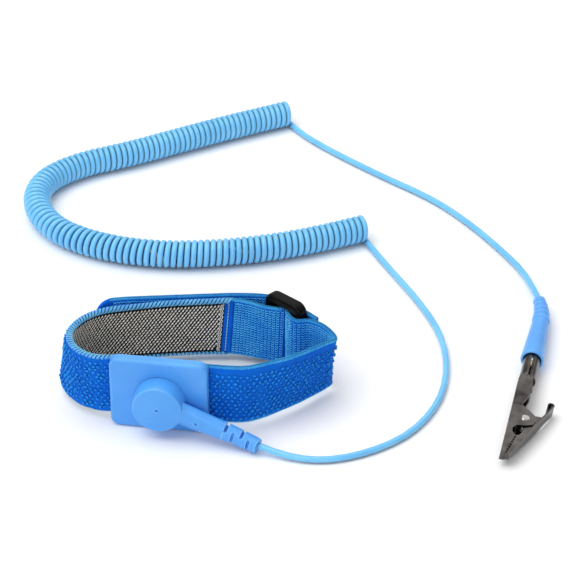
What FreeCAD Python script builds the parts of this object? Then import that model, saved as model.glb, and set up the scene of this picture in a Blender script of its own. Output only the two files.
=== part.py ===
"""ESD wrist strap: an adjustable conductive wristband, a snap head with its resistor,
a curly cord and a banana plug that carries an alligator clip.

Millimetres, +Z up. The band stands on edge on the plane z = 0. The origin is at the bottom centre of
the box round the wristband and its snap head. +X runs along the band's long side, and +Y away from the
snap head.
"""

import FreeCAD, Part
import math
import os

V = FreeCAD.Vector
UP = V(0, 0, 1)

# ---- driving dimensions -------------------------------------------------------------------------
GAP = 0.05                      # clearance between soft layers and between pressed parts
TOUCH = 1e-6                    # two places closer than this are the same
ALONG_Y = 0.9                   # an edge whose direction has this much Y runs along Y
OVERRUN = 1.0                   # how far a cutting shape reaches past what it cuts

# strap
STRAP_WIDTH = 19.0
STRAP_THICK = 1.6
LINING_THICK = 0.8
LINING_INSET = 0.3              # the lining is this much narrower at each edge
STRAP_BOTTOM = 2.2              # the plate and the buckle hold the strap this far off the table

# cover plate, and the frame that stands on its front face
PLATE_WIDTH = 28.3
PLATE_HEIGHT = 22.7
PLATE_THICK = 3.2
PLATE_CORNER = 2.6
PLATE_EDGE = 0.9
PLATE_YAW = -9.0                # the plate faces the front, turned a little to its left
PLATE_CENTRE = V(-11.3, -14.4, 0)
PLATE_WEB = 1.4                 # left behind the stud's seat
STUD_SIDE = 0.6                 # the stud sits this far to the right of the plate's middle
STUD_HEIGHT = 10.4

# snap: a 10 mm stud and its socket
STUD_NECK_R = 4.3
STUD_BULB_R = 4.9
STUD_STANDS = 3.6
# along the stud's axis, and its radius there, from its crown to its neck
STUD_PROFILE = [(-STUD_STANDS, 0), (-STUD_STANDS, 3.9), (-3.1, 4.6), (-2.4, STUD_BULB_R),
                (-1.9, STUD_BULB_R), (-1.2, STUD_NECK_R)]
RIVET_R = 1.7
RIVET_HEAD_R = 3.2
RIVET_HEAD = [(0.35, RIVET_HEAD_R - 0.15), (0.6, 1.8), (0.6, 0)]
RING_WIRE = 0.7
RING_AT = -1.4
SOCKET_WALL = 0.4
SOCKET_R = 6.15
SOCKET_DEPTH = 3.9
SOCKET_LIP = 0.1                # the cup stops this far inside the head

# skin contact plate
CONTACT_WIDTH = 24.0
CONTACT_HEIGHT = 16.0
CONTACT_THICK = 0.55
CONTACT_CORNER = 3.0
CONTACT_EDGE = 0.1

# snap head
HEAD_R = 7.45
HEAD_FRONT_R = 7.3
HEAD_BACK = 0.25                # running gap to the cover plate
HEAD_THICK = 5.45
HEAD_EDGE = 0.7
HEAD_BREAK = (0.2, 0.25)        # the middle of the cap's rounded edge, back and in from its corner
NECK_DOWN = 16.0                # the neck falls towards the table
NECK_OUT = 7.0                  # and leans away from the plate
NECK_BACK = 0.7                 # its root lies this far behind the middle of the cap
NECK_START = 4.0
NECK_END = 20.0
NECK_WIDE = (7.5, 5.8)
NECK_DEEP = (4.2, 4.6)
NECK_PLAY = 0.15                # room round the resistor
NECK_FLOOR = 0.8                # left at the end of the neck's bore
GATE_R = 0.55                   # moulding gates: one in the cap, one in the neck
GATE_DEEP = 0.6
GATE_ALONG = 12.0
BOOT_PITCH = (16.0, 11.0)       # fall of the boot at the neck and at its tip
BOOT_YAW = (-16.0, -28.5)       # its heading in plan at the neck and at its tip
BOOT_LENGTH = 10.6
BOOT_STEPS = 21
BOOT_SECTION = 3                # steps between the sections that shape it
BOOT_TIP_R = 2.25
BOOT_SEAM = 0.02                # between the neck's end and the boot
BOOT_FLAT = 0.1                 # the tip is this much narrower than it is high
SLOT_WIDE = 0.9
SLOT_REACH = 4.0                # half the length of a slot's cutter
SLOT_STEPS = (1, 6, 11, 16)
SLOT_TURNS = (-8.0, 106.0)      # the slots open upwards and forwards in turn, from the upright
SLOT_FLOOR = 0.9                # their floor's distance from the boot's axis

# resistor
RESISTOR_R = 1.15
RESISTOR_LENGTH = 6.4
RESISTOR_START = 8.2            # along the neck
RESISTOR_CAP = (0.4, 1.6, 2.0)  # its swollen ends: rounded up to here, full to here, waisted from here
RESISTOR_END_R = 0.92
RESISTOR_WAIST_R = 0.99
LEG_R = 0.3
LEG_START = 6.4
LEG_END = 1.2
FERRULE_R = 1.0
FERRULE_LENGTH = 3.0
FERRULE_AFTER = 1.4             # from the resistor's end
CRIMP_HALF = 0.5
CRIMP_DEEP = 0.25
CRIMP_OUT = 0.1

# buckle: an upright ring
BUCKLE_CENTRE = V(24.9, 16.6, 0)
BUCKLE_YAW = -43.0
BUCKLE_LENGTH = 14.0
BUCKLE_HEIGHT = 24.7
BUCKLE_THICK = 3.8
BUCKLE_BAR = 3.2
BUCKLE_RAIL = 3.0               # upper rail; a thinner lower one keeps the strap near the table
BUCKLE_FOOT = 2.1
BUCKLE_CORNER = 3.2
BUCKLE_EDGE = 1.0
BUCKLE_SLOT_CORNER = 0.6
FOLD_R = 2.15                   # inner radius of the strap where it folds round a bar
FOLD_END = 70.0                 # heading from the left bar to the end of its fold

# the strap's inner face in plan, from behind the plate round the left bend to the buckle
BAND_PATH = [V(-10.54, -9.61), V(-29.9, -6.55), V(-38.9, 4.2), V(-35.9, 12.9),
             V(-27.5, 17.2), V(2.9, 21.6), V(13.1, 20.25)]
BAND_RADII = [12, 10, 8.5, 13, 45, 16]
LINING_END = 6.0                # the lining's sewn end on the rear run
LINING_CUT = 40.0               # side of the block that cuts it off
TAIL_PATH = [V(21.0, 23.2), V(15.0, 24.2), V(2.9, 24.1), V(-14.8, 22.9), V(-28.6, 20.7)]
TAIL_RADII = [20, 60, 30]
TAIL_TIP_R = 5.0
TAIL_BLOCK = (60.0, 20.0)       # the block with the tip's rounded corners
HOOK_LENGTH = 10.0
HOOK_INSET = 1.0
HOOK_THICK = 0.7
RIGHT_PATH = [V(-10.5, -10.4), V(10.9, -13.8), V(24.5, -8.1), V(40.1, 3.1)]
RIGHT_RADII = [22, 45, 2.0]

# cord
CORD_D = 1.9
CORD_SHARE = 0.45               # each bend takes up to this share of the runs beside it
COIL_D = 8.8
WRIST_LEAD = [V(17.0, -25.5, 2.4), V(23.7, -28.8, 1.2), V(35.4, -31.2, 1.0), V(48.4, -27.0, 1.0),
              V(60.7, -17.8, 1.0), V(69.5, -2.3, 1.0), V(72.8, 15.7, 1.0), V(71.5, 34.2, 1.0),
              V(65.2, 52.7, 1.0), V(57.1, 70.7, 1.0), V(50.4, 86.7, 1.0)]
COIL_AXIS = [V(49.9, 89.4, 4.45), V(39.4, 84.4, 4.45), V(24.9, 78.8, 4.45), V(5.4, 74.2, 4.45),
             V(-15.1, 73.1, 4.45), V(-33.6, 77.7, 4.45), V(-49.1, 87.7, 4.45), V(-56.9, 103.7, 4.45),
             V(-55.6, 118.7, 4.45), V(-44.1, 130.2, 4.45), V(-28.1, 137.2, 4.45), V(-10.6, 147.2, 4.45),
             V(8.9, 158.0, 4.45), V(25.5, 166.0, 4.45)]
CLIP_LEAD = [V(25.5, 166.0, 1.0), V(31.1, 156.0, 1.0), V(41.9, 143.5, 1.0), V(57.4, 127.8, 1.0),
             V(73.2, 113.4, 1.0), V(84.4, 97.5, 1.0), V(93.2, 81.4, 1.0), V(100.7, 64.7, 1.4),
             V(102.4, 48.2, 2.9)]

# banana plug, in a frame at the sleeve's mouth with +X towards the clip's tip
PLUG_MOUTH = V(97.3, 15.1, 3.6)
PLUG_HEADING = -102.0
SLEEVE_BODY = 20.0
SLEEVE_MOUTH_R = 3.45
SLEEVE_BACK_R = 2.55
SLEEVE_CAVITY_R = 2.75
SLEEVE_CAVITY = 11.0
MOUTH_EDGE = [(-0.5, SLEEVE_MOUTH_R), (-0.15, SLEEVE_MOUTH_R - 0.1), (0, SLEEVE_MOUTH_R - 0.35)]
RELIEF_LENGTH = 13.5
RELIEF_TURN = 16.0
RELIEF_FALL = 5.0
RELIEF_RINGS = 5
RELIEF_RADII = (2.35, 1.45)
RELIEF_LAP = 0.125              # each piece of the relief runs this far into the next
RING_PROUD = 0.45
PIN_CORE_R = 1.25
PIN_BACK = -17.0
PIN_FRONT = 3.6
PIN_COLLAR_R = 1.9              # the collars and the groove that keep the cage on the core
PIN_COLLAR = 0.5
PIN_GROOVE_R = 1.1
PIN_PLAY = 0.1
PIN_NOSE = [(PIN_FRONT - 0.5, 1.35), (PIN_FRONT, 0.6), (PIN_FRONT, 0)]
PIN_NOSE_R = 1.5
CAGE_BACK = -9.6
CAGE_FRONT = 2.4
CAGE_R = 2.05
CAGE_END_R = 1.75
CAGE_WALL = 0.3
CAGE_HALF = 2.5                 # half the length of its widest part
CAGE_SLITS = 4
SLIT_WIDE = 0.5
SLIT_STOP = 1.5                 # the slits stop this far from the cage's ends
SLIT_FIRST = 45.0

# alligator clip, in the same frame: +Y is the side of the thumb lever
SHEET = 0.45
CHEEK_PLAY = 0.05
BARREL_BACK = -10.0
BARREL_FRONT = 11.0
BARREL_BORE_R = 2.1
BARREL_R = 2.6
BARREL_TAPER = 0.15
SEAM_WIDE = 0.5
SEAM_FLOOR = 1.1                # from the barrel's axis
CLIP_ROLL = -9.5                # the clip lies turned a little towards its lever
FIXED_WIDTH = 5.2               # across the outside of the fixed jaw's cheeks
MOVING_WIDTH = FIXED_WIDTH - 2 * (SHEET + CHEEK_PLAY)
PIVOT = V(32.5, 1.85, 0)
PIN_R = 0.9
PIN_HEAD_R = (1.35, 1.1)        # the rivet's head at the cheek and at its face
PIN_HEAD = 0.3
JAW_TIP = 48.8
SPRING_R = 1.5
SPRING_WIRE = 0.55
SPRING_TURNS = 5
SPRING_LEGS = (5.0, 5.2)
SPRING_HEADING = -8.0
# a jaw's outline holds (along, towards the lever) pairs
SPINE = -2.65
SPINE_FALL = 0.15               # its fall towards the tip
ROOT = [(10.6, -2.3), (13.0, SPINE)]
CHEEK = [(39.8, -0.9), (38.2, -1.1), (36.6, -0.2), (35.9, 2.4), (34.6, 4.3), (32.6, 4.9), (30.4, 4.4),
         (28.6, 2.7), (27.4, 1.1), (25.8, 0.1), (21.5, 1.2), (18.2, 2.0), (14.0, 1.8), (10.6, 1.4)]
FIXED_HOLLOW = [(12.2, SPINE + SHEET), (JAW_TIP - 0.8, SPINE + SHEET - SPINE_FALL), (JAW_TIP - 0.8, 0.4),
                (39.0, 6.0), (12.2, 6.0)]
STOP_TAB = (14.6, 3.4, 2.8)     # along the clip, height, width
LEVER_ROOT = (29.3, 6.7)
MOVING_NOSE = (JAW_TIP, -0.25)
MOVING_CHEEK = [LEVER_ROOT, (29.6, 4.9), (30.3, 2.6), (30.9, 0.9), (32.5, 0.2), (34.6, 1.0), (36.4, 1.9),
                (38.2, 1.9), (39.8, 1.2)]
MOVING_HOLLOW = [(29.0, 6.25), (28.0, -3.0), (JAW_TIP - 0.7, -3.0), (JAW_TIP - 0.7, -0.45)]
# half widths across the cheeks, at distances along the clip
FIXED_HALVES = [(10.0, 2.3), (15.0, 1.8), (22.0, 2.0), (27.0, FIXED_WIDTH / 2), (36.0, FIXED_WIDTH / 2),
                (50.6, 1.5)]
MOVING_HALVES = [(20.0, MOVING_WIDTH / 2), (36.0, MOVING_WIDTH / 2), (50.6, 1.0)]
JAW_GAP = 0.15                  # the biting edges stop just short of each other
BITE_START = (40.6, 0.08)
BITE_END = (JAW_TIP, -1.55)
TEETH = 7
TOOTH = 0.55
LEVER_LENGTH = 7.4
LEVER_WIDTH = 3.6
LEVER_LAP = 0.8                 # the lever runs this far on to the jaw
CURL_R = 1.0                    # curled end of the thumb lever
CLIP_CLEAR = 12.0               # outside the clip in every direction across it


# ---- helpers ------------------------------------------------------------------------------------
def save(node, shape):
    """Writes one node, after checking that it is sound."""
    solids = shape.Solids
    assert solids, node + " has no solid"
    assert all(s.isValid() for s in solids), node + " is not valid"
    out = solids[0] if len(solids) == 1 else Part.makeCompound(solids)
    out.exportStep("parts/" + node + ".step")
    box = out.BoundBox
    print("%-18s solids %d  volume %8.1f  x %7.2f %7.2f  y %7.2f %7.2f  z %6.2f %6.2f" % (
        node, len(solids), out.Volume, box.XMin, box.XMax, box.YMin, box.YMax, box.ZMin, box.ZMax))
    NODES[node] = out


def heading(degrees, pitch=0.0):
    """Unit vector at that angle in plan, falling by pitch degrees."""
    a, p = math.radians(degrees), math.radians(pitch)
    return V(math.cos(a) * math.cos(p), math.sin(a) * math.cos(p), -math.sin(p))


def placed(shape, angle, at):
    """The shape turned about Z and moved to a point of the row frame."""
    out = shape.copy()
    out.Placement = FreeCAD.Placement(at, FreeCAD.Rotation(UP, angle)).multiply(out.Placement)
    return out


def polygon(points, height, z=0.0):
    """A prism on a closed outline in plan."""
    wire = Part.makePolygon([V(x, y, z) for x, y in points + points[:1]])
    return Part.Face(wire).extrude(V(0, 0, height))


def turned(profile, axis):
    """A solid of revolution about the line through the origin: profile holds (along, radius) pairs."""
    side = V(0, 0, 1) if axis.z == 0 else V(1, 0, 0)
    wire = Part.makePolygon([axis * a + side * r for a, r in profile + profile[:1]])
    return Part.Face(wire).revolve(V(0, 0, 0), axis, 360)


def edges_along_y(shape):
    return [e for e in shape.Edges if abs(e.tangentAt(e.FirstParameter).y) > ALONG_Y]


def fused(shapes):
    out = shapes[0].multiFuse(shapes[1:]) if len(shapes) > 1 else shapes[0]
    return out.removeSplitter()


def offset_edges(path, radii, side):
    """Edges of a rounded path in plan, moved sideways: a positive side is to the left of its heading."""
    runs = [(b - a).normalize() for a, b in zip(path, path[1:])]
    left = [V(-r.y, r.x, 0) for r in runs]
    starts, ends, arcs = [path[0] + left[0] * side], [], []
    for i, radius in enumerate(radii):
        corner, before, after = path[i + 1], runs[i], runs[i + 1]
        turn = math.atan2(before.cross(after).z, before.dot(after))
        cut = radius * math.tan(abs(turn) / 2)
        assert cut < (path[i + 1] - path[i]).Length, "corner %d is too round for its run" % i
        hand = 1 if turn > 0 else -1
        centre = corner - before * cut + left[i] * radius * hand
        first = centre - left[i] * hand * (radius - side * hand)
        last = centre - left[i + 1] * hand * (radius - side * hand)
        middle_way = (first - centre).add(last - centre).normalize()
        arcs.append(Part.Arc(first, centre + middle_way * abs(radius - side * hand), last).toShape())
        ends.append(first)
        starts.append(last)
    ends.append(path[-1] + left[-1] * side)
    edges = []
    for i, (a, b) in enumerate(zip(starts, ends)):
        edges.append(Part.makeLine(a, b))
        if i < len(arcs):
            edges.append(arcs[i])
    return edges


def ribbon(path, radii, near, far, bottom, height):
    """A band on edge that follows a rounded path, from one side offset to the other."""
    a, b = offset_edges(path, radii, near), offset_edges(path, radii, far)
    caps = [Part.makeLine(x, y) for x, y in (
        (a[0].Vertexes[0].Point, b[0].Vertexes[0].Point),
        (a[-1].Vertexes[-1].Point, b[-1].Vertexes[-1].Point))]
    face = Part.Face(Part.Wire(Part.__sortEdges__(a + b + caps)))
    solid = face.extrude(V(0, 0, height))
    solid.translate(V(0, 0, bottom))
    return solid


def fold(centre, start, sweep, bottom, height):
    """The strap where it is folded round a buckle bar: part of a ring in plan."""
    ring = Part.makeCylinder(FOLD_R + STRAP_THICK, height, V(0, 0, 0), UP, sweep)
    ring = ring.cut(Part.makeCylinder(FOLD_R, height))
    return placed(ring, start, V(centre.x, centre.y, bottom))


def tube(node, points, diameter):
    """A cord: straight runs joined by tangent arcs, each as large as its two runs allow."""
    runs = [b - a for a, b in zip(points, points[1:])]
    cuts, radii, pieces, length = [0.0], [], [], 0.0
    for before, after in zip(runs, runs[1:]):
        half = before.getAngle(after) / 2
        cuts.append(CORD_SHARE * min(before.Length, after.Length))
        radii.append(cuts[-1] / math.tan(half))
    cuts.append(0.0)
    for i, run in enumerate(runs):
        along = V(run).normalize()
        start = points[i] + along * cuts[i]
        straight = run.Length - cuts[i] - cuts[i + 1]
        pieces.append(Part.makeCylinder(diameter / 2, straight, start, along))
        length += straight
        if i < len(radii):
            axis = run.cross(runs[i + 1]).normalize()
            end = start + along * straight
            centre = end + axis.cross(along) * radii[i]
            turn = run.getAngle(runs[i + 1])
            disc = Part.Face(Part.Wire(Part.makeCircle(diameter / 2, end, along)))
            pieces.append(disc.revolve(centre, axis, math.degrees(turn)))
            length += radii[i] * turn
    solid = fused(pieces)
    section = math.pi * diameter ** 2 / 4
    print("%s: length %.1f, arc radii %s, volume / (section x length) %.4f" % (
        node, length, ["%.1f" % r for r in radii], solid.Volume / (section * length)))
    save(node, solid)


# ---- cover plate, stud and skin contact ----------------------------------------------------------
HEAD_AT = PLATE_CENTRE + heading(PLATE_YAW) * STUD_SIDE + V(0, 0, STUD_HEIGHT)
INWARD = V(0, 1, 0)


def on_plate(shape):
    """Puts a shape made in the stud's frame in place: X along the plate, Y into the band, Z up."""
    return placed(shape, PLATE_YAW, HEAD_AT)


def rounded_slab(width, height, thick, corner, edge):
    """An upright plate centred on X and standing on z = 0, its front face at y = 0."""
    slab = Part.makeBox(width, thick, height, V(-width / 2, 0, 0))
    slab = slab.makeFillet(corner, edges_along_y(slab))
    front = [e for e in slab.Edges if max(v.Point.y for v in e.Vertexes) < TOUCH]
    return slab.makeFillet(edge, front)


def cover_plate():
    slab = rounded_slab(PLATE_WIDTH, PLATE_HEIGHT, PLATE_THICK, PLATE_CORNER, PLATE_EDGE)
    slab.translate(V(-STUD_SIDE, 0, -STUD_HEIGHT))
    seat = Part.makeCylinder(STUD_NECK_R + GAP, PLATE_THICK - PLATE_WEB, V(0, 0, 0), INWARD)
    shank = Part.makeCylinder(RIVET_R + GAP, PLATE_THICK, V(0, 0, 0), INWARD)
    return slab.cut(seat).cut(shank)


BAND_FRONT = PLATE_THICK + GAP
BAND_BACK = BAND_FRONT + STRAP_THICK
LINING_BACK = BAND_BACK + GAP + LINING_THICK
CONTACT_FRONT = LINING_BACK + GAP
CONTACT_BACK = CONTACT_FRONT + CONTACT_THICK


def snap_stud():
    """Seat in the plate, neck and bulb outside it, and a rivet shank that clamps the whole stack."""
    seat = PLATE_THICK - PLATE_WEB - GAP
    shank = [(seat, STUD_NECK_R), (seat, RIVET_R), (CONTACT_BACK, RIVET_R), (CONTACT_BACK, 0)]
    return turned(STUD_PROFILE + shank, INWARD)


def rivet_cap():
    """The rolled rivet head on the skin side."""
    foot = [(CONTACT_BACK + GAP, 0), (CONTACT_BACK + GAP, RIVET_HEAD_R)]
    return turned(foot + [(CONTACT_BACK + along, r) for along, r in RIVET_HEAD], INWARD)


def contact_plate():
    slab = rounded_slab(CONTACT_WIDTH, CONTACT_HEIGHT, CONTACT_THICK, CONTACT_CORNER, CONTACT_EDGE)
    bottom = STRAP_BOTTOM + (STRAP_WIDTH - CONTACT_HEIGHT) / 2
    slab.translate(V(-STUD_SIDE, CONTACT_FRONT, bottom - STUD_HEIGHT))
    return slab.cut(rivet_hole(CONTACT_FRONT, CONTACT_BACK))


def rivet_hole(front, back):
    return Part.makeCylinder(RIVET_R + GAP, back - front + 2 * OVERRUN, V(0, front - OVERRUN, 0), INWARD)


# ---- snap head -----------------------------------------------------------------------------------
HEAD_FRONT = -(HEAD_BACK + HEAD_THICK)
HEAD_MIDDLE = V(0, (HEAD_FRONT - HEAD_BACK) / 2 + NECK_BACK, 0)
NECK_WAY = heading(-NECK_OUT, NECK_DOWN)


def ellipse(centre, way, wide, deep):
    """An upright ellipse across a heading: wide is nearly vertical, deep nearly horizontal."""
    across = way.cross(UP).normalize()
    curve = Part.Ellipse(V(0, 0, 0), wide / 2, deep / 2).toShape()
    matrix = FreeCAD.Placement(centre, FreeCAD.Rotation(across.cross(way), across, way, "ZXY"))
    curve.Placement = matrix
    return Part.Wire(curve)


def neck(grow=0.0, start=NECK_START, end=NECK_END):
    near = ellipse(HEAD_MIDDLE + NECK_WAY * start, NECK_WAY, NECK_WIDE[0] + grow, NECK_DEEP[0] + grow)
    far = ellipse(HEAD_MIDDLE + NECK_WAY * end, NECK_WAY, NECK_WIDE[1] + grow, NECK_DEEP[1] + grow)
    return Part.makeLoft([near, far], True, True)


def snap_head():
    """Moulded housing: a round cap over the socket and a hollow neck for the resistor."""
    cap = turned([(-HEAD_BACK, 0), (-HEAD_BACK, HEAD_R), (HEAD_FRONT + HEAD_EDGE, HEAD_FRONT_R),
                  (HEAD_FRONT + HEAD_BREAK[0], HEAD_FRONT_R - HEAD_BREAK[1]),
                  (HEAD_FRONT, HEAD_FRONT_R - HEAD_EDGE), (HEAD_FRONT, 0)], INWARD)
    depth = SOCKET_DEPTH + SOCKET_WALL + GAP
    pocket = Part.makeCylinder(SOCKET_R + GAP, depth, V(0, -HEAD_BACK, 0), -INWARD)
    bore = Part.makeCylinder(RESISTOR_R + NECK_PLAY, NECK_END - NECK_FLOOR, HEAD_MIDDLE, NECK_WAY)
    cap_gate = Part.makeCylinder(GATE_R, GATE_DEEP, V(0, HEAD_FRONT, 0), INWARD)
    towards = NECK_WAY.cross(UP).normalize()
    outside = neck_point(GATE_ALONG) + towards * (NECK_DEEP[0] / 2 + OVERRUN)
    neck_gate = Part.makeCylinder(GATE_R, GATE_DEEP + OVERRUN, outside, -towards)
    housing = cap.fuse(neck()).cut(pocket).cut(bore)
    return housing.cut(cap_gate).cut(neck_gate).removeSplitter()


def snap_socket():
    """Pressed cup that takes the stud and its spring ring, with a tongue into the neck."""
    inner = SOCKET_R - SOCKET_WALL
    lip = -HEAD_BACK - SOCKET_LIP
    end = -HEAD_BACK - SOCKET_DEPTH
    cup = turned([(lip, inner), (lip, SOCKET_R), (end - SOCKET_WALL, SOCKET_R), (end - SOCKET_WALL, 0),
                  (end, 0), (end, inner)], INWARD)
    return cup


def snap_ring():
    """The spring ring that grips the stud."""
    return Part.makeTorus(STUD_BULB_R + GAP + RING_WIRE / 2, RING_WIRE / 2, V(0, RING_AT, 0), INWARD)


def neck_point(along):
    return HEAD_MIDDLE + NECK_WAY * along


def resistor():
    """Axial resistor: a body with swollen ends."""
    rounded, full, waisted = RESISTOR_CAP
    near = [(0, 0), (0, RESISTOR_END_R), (rounded, RESISTOR_R), (full, RESISTOR_R),
            (waisted, RESISTOR_WAIST_R)]
    far = [(RESISTOR_LENGTH - along, radius) for along, radius in reversed(near)]
    return along_neck(turned(near + far, V(1, 0, 0)), RESISTOR_START)


def along_neck(shape, at):
    out = shape.copy()
    out.Placement = FreeCAD.Placement(neck_point(at), FreeCAD.Rotation(V(1, 0, 0), NECK_WAY))
    return out


def resistor_legs():
    near = Part.makeCylinder(LEG_R, RESISTOR_START - LEG_START - GAP, neck_point(LEG_START), NECK_WAY)
    end = RESISTOR_START + RESISTOR_LENGTH + GAP
    far = Part.makeCylinder(LEG_R, LEG_END, neck_point(end), NECK_WAY)
    return Part.makeCompound([near, far])


def wire_ferrule():
    """Crimp that joins the resistor's leg to the cord's core."""
    start = RESISTOR_START + RESISTOR_LENGTH + FERRULE_AFTER
    body = Part.makeCylinder(FERRULE_R, FERRULE_LENGTH, neck_point(start), NECK_WAY)
    middle = FERRULE_LENGTH / 2
    near, far, outer = middle - CRIMP_HALF, middle + CRIMP_HALF, FERRULE_R + CRIMP_OUT
    waist = turned([(near, outer), (near, FERRULE_R), (middle, FERRULE_R - CRIMP_DEEP),
                    (far, FERRULE_R), (far, outer)], V(1, 0, 0))
    return body.cut(along_neck(waist, start))


def boot_frames():
    """Centre and heading at each step along the bent boot, in the row frame."""
    start = HEAD_AT + heading_vector(HEAD_MIDDLE + NECK_WAY * (NECK_END + BOOT_SEAM))
    frames, at = [], start
    for i in range(BOOT_STEPS + 1):
        share = i / BOOT_STEPS
        way = heading(BOOT_YAW[0] + (BOOT_YAW[1] - BOOT_YAW[0]) * share,
                      BOOT_PITCH[0] + (BOOT_PITCH[1] - BOOT_PITCH[0]) * share)
        frames.append((V(at), way, share))
        at = at + way * (BOOT_LENGTH / BOOT_STEPS)
    return frames


def heading_vector(v):
    """A vector of the stud's frame, in the row frame's directions."""
    return FreeCAD.Rotation(UP, PLATE_YAW).multVec(v)


def cord_boot():
    """Tapered strain relief with four slots, two from above and two from below."""
    frames = boot_frames()
    rings = []
    for at, way, share in frames[::BOOT_SECTION]:
        wide = NECK_WIDE[1] + (2 * BOOT_TIP_R - NECK_WIDE[1]) * share
        deep = NECK_DEEP[1] + (2 * BOOT_TIP_R - BOOT_FLAT - NECK_DEEP[1]) * share
        rings.append(ellipse(at, way, wide, deep))
    body = Part.makeLoft(rings, True, False)
    for i, step in enumerate(SLOT_STEPS):
        at, way, share = frames[step]
        corner = V(-SLOT_WIDE / 2, -SLOT_REACH, SLOT_FLOOR)
        cutter = Part.makeBox(SLOT_WIDE, 2 * SLOT_REACH, SLOT_REACH, corner)
        cutter.rotate(V(0, 0, 0), V(1, 0, 0), SLOT_TURNS[i % 2])
        lift = way.cross(UP).cross(way).normalize()
        turn = FreeCAD.Rotation(way, lift.cross(way), lift, "ZXY")
        cutter.Placement = FreeCAD.Placement(at, turn).multiply(cutter.Placement)
        body = body.cut(cutter)
    return body


# ---- strap and buckle ----------------------------------------------------------------------------
BAR_SHIFT = (BUCKLE_LENGTH - BUCKLE_BAR) / 2
LEFT_BAR = BUCKLE_CENTRE - heading(BUCKLE_YAW) * BAR_SHIFT
RIGHT_BAR = BUCKLE_CENTRE + heading(BUCKLE_YAW) * BAR_SHIFT


def fold_entry():
    """Where the strap's inner face starts to turn round the left bar."""
    way = (LEFT_BAR - BAND_PATH[-1]).normalize()
    reach = (LEFT_BAR - BAND_PATH[-1]).Length
    radius = FOLD_R + STRAP_THICK
    lead = math.asin(radius / reach)
    straight = math.sqrt(reach ** 2 - radius ** 2)
    angle = math.atan2(way.y, way.x) - lead
    return BAND_PATH[-1] + V(math.cos(angle), math.sin(angle), 0) * straight, math.degrees(angle)


def main_strap():
    """Loop-pile strap from behind the plate, round the left bend and round the buckle's left bar."""
    entry, angle = fold_entry()
    band = ribbon(BAND_PATH + [entry], BAND_RADII, 0, STRAP_THICK, STRAP_BOTTOM, STRAP_WIDTH)
    start = angle - 90
    turn = fold(LEFT_BAR, start, FOLD_END - start, STRAP_BOTTOM, STRAP_WIDTH)
    return fused([band, turn]).cut(on_plate(rivet_hole(BAND_FRONT, BAND_BACK)))


def conductive_lining():
    """Woven lining on the strap's skin side; it stops short of the buckle."""
    band = ribbon(BAND_PATH, BAND_RADII[:-1], -GAP - LINING_THICK, -GAP,
                  STRAP_BOTTOM + LINING_INSET, STRAP_WIDTH - 2 * LINING_INSET)
    bare = Part.makeBox(LINING_CUT, LINING_CUT, LINING_CUT, V(LINING_END, 0, 0))
    return band.cut(bare).cut(on_plate(rivet_hole(BAND_BACK, LINING_BACK)))


def right_strap():
    """Short strap from behind the plate, round the right crease, sewn round the buckle's right bar."""
    way = (RIGHT_BAR - RIGHT_PATH[-1]).normalize()
    end = RIGHT_BAR - way * (FOLD_R + STRAP_THICK / 2)
    half = STRAP_THICK / 2
    band = ribbon(RIGHT_PATH + [end], RIGHT_RADII, -half, half, STRAP_BOTTOM, STRAP_WIDTH)
    loop = fold(RIGHT_BAR, 0, 360, STRAP_BOTTOM, STRAP_WIDTH)
    return fused([band, loop]).cut(on_plate(rivet_hole(BAND_FRONT, BAND_BACK)))


def buckle():
    """Moulded ring: rounded outside, one slot for both straps."""
    left, front = -BUCKLE_LENGTH / 2, -BUCKLE_THICK / 2
    ring = Part.makeBox(BUCKLE_LENGTH, BUCKLE_THICK, BUCKLE_HEIGHT, V(left, front, 0))
    ring = ring.makeFillet(BUCKLE_CORNER, edges_along_y(ring))
    wide, high = BUCKLE_LENGTH - 2 * BUCKLE_BAR, BUCKLE_HEIGHT - BUCKLE_RAIL - BUCKLE_FOOT
    slot = Part.makeBox(wide, BUCKLE_THICK + 2 * OVERRUN, high,
                        V(left + BUCKLE_BAR, front - OVERRUN, BUCKLE_FOOT))
    ring = ring.cut(slot.makeFillet(BUCKLE_SLOT_CORNER, edges_along_y(slot)))
    rims = [e for e in ring.Edges if abs(e.CenterOfMass.y) > BUCKLE_THICK / 2 - TOUCH]
    ring = ring.makeFillet(BUCKLE_EDGE, rims)
    return placed(ring, BUCKLE_YAW, BUCKLE_CENTRE)


def strap_tail():
    """Free end of the strap, outside the band, with rounded tip corners."""
    half = STRAP_THICK / 2
    band = ribbon(TAIL_PATH, TAIL_RADII, -half, half, STRAP_BOTTOM, STRAP_WIDTH)
    knuckle = Part.makeCylinder(half, STRAP_WIDTH, TAIL_PATH[0] + V(0, 0, STRAP_BOTTOM))
    tip, before = TAIL_PATH[-1], TAIL_PATH[-2]
    way = (tip - before).normalize()
    length, across = TAIL_BLOCK
    keep = Part.makeBox(length, across, STRAP_WIDTH, V(-length, -across / 2, 0))
    corners = [e for e in keep.Edges if math.hypot(e.CenterOfMass.x, e.CenterOfMass.y) < TOUCH]
    keep = keep.makeFillet(TAIL_TIP_R, corners)
    keep = placed(keep, math.degrees(math.atan2(way.y, way.x)), tip + V(0, 0, STRAP_BOTTOM))
    return fused([band.common(keep), knuckle])


def hook_patch():
    """Hook tape sewn to the tail's inner face at its tip."""
    tip, before = TAIL_PATH[-1], TAIL_PATH[-2]
    way = (before - tip).normalize()
    start = tip + way * HOOK_INSET
    side = STRAP_THICK / 2 + GAP
    return ribbon([start, start + way * HOOK_LENGTH], [], -side - HOOK_THICK, -side,
                  STRAP_BOTTOM + HOOK_INSET, STRAP_WIDTH - 2 * HOOK_INSET)


# ---- banana plug ---------------------------------------------------------------------------------
AHEAD = V(1, 0, 0)


def on_plug(shape):
    """Puts a shape made in the plug's frame in place."""
    return placed(shape, PLUG_HEADING, PLUG_MOUTH)


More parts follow.
